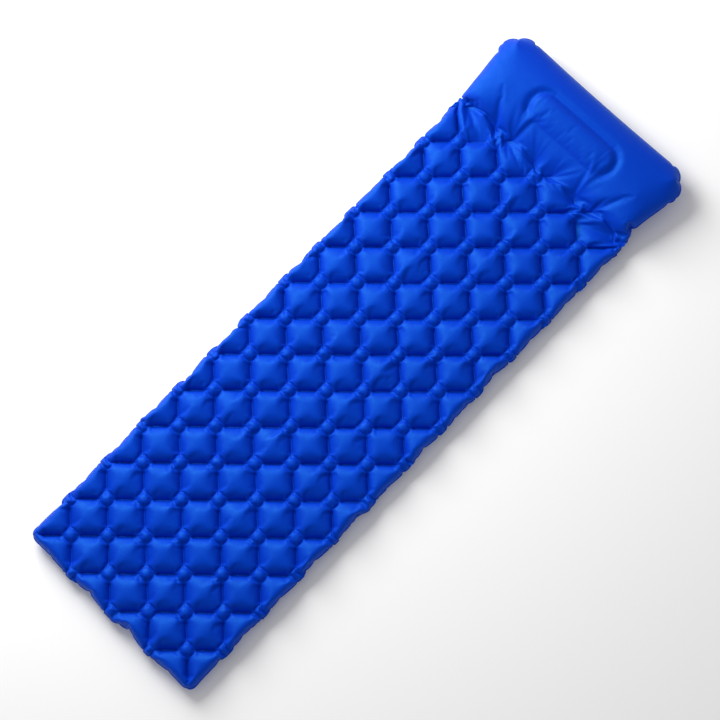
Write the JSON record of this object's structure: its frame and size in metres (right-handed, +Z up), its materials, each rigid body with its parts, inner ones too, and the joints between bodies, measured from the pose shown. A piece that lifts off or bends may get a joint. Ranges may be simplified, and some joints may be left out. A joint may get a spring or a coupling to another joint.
{
  "type": "inflatable sleeping mat",
  "caption": "Inflatable camping mat quilted into diamond cushions, with a built-in pillow that has an oval dent for the head, and a push-in valve under the pillow.",
  "frame": {"origin": "middle of the underside, on the ground", "axes": "+Z up, +Y along the mat towards the head, +X across it to the right"},
  "size_m": [0.63, 1.9, 0.1],
  "materials": {
    "coated_cloth": "satin",
    "baffle_film": "matte film",
    "valve_plastic": "fine matte moulding",
    "cap_plastic": "fine matte moulding",
    "soft_seal": "smooth silicone"
  },
  "bodies": {
    "mattress": {"top_panel": "coated_cloth", "bottom_panel": "coated_cloth", "headrest_baffle": "baffle_film", "valve_base": "valve_plastic", "throat_seal": "soft_seal"},
    "deflation_plug": {"deflation_plug": "valve_plastic", "plug_tether": "valve_plastic"},
    "one_way_flap": {"one_way_flap": "soft_seal"},
    "inflation_cap": {"inflation_cap": "cap_plastic", "cap_tether": "cap_plastic", "cap_seal": "soft_seal"}
  },
  "joints": [
    {"name": "deflation_plug_hinge", "type": "hinge", "parent": "mattress", "child": "deflation_plug", "pos_m": [-0.2, 0.94276, 0.03194], "axis": [1, 0, 0], "range_deg": [0, 105]},
    {"name": "inflation_cap_hinge", "type": "hinge", "parent": "deflation_plug", "child": "inflation_cap", "pos_m": [-0.2, 0.94009, 0.02718], "axis": [1, 0, 0], "range_deg": [0, 100]},
    {"name": "flap_lift", "type": "slide", "parent": "deflation_plug", "child": "one_way_flap", "axis": [0, -0.6402, 0.7682], "range_m": [0, 0.0013], "stiffness_N_per_m": 4}
  ]
}
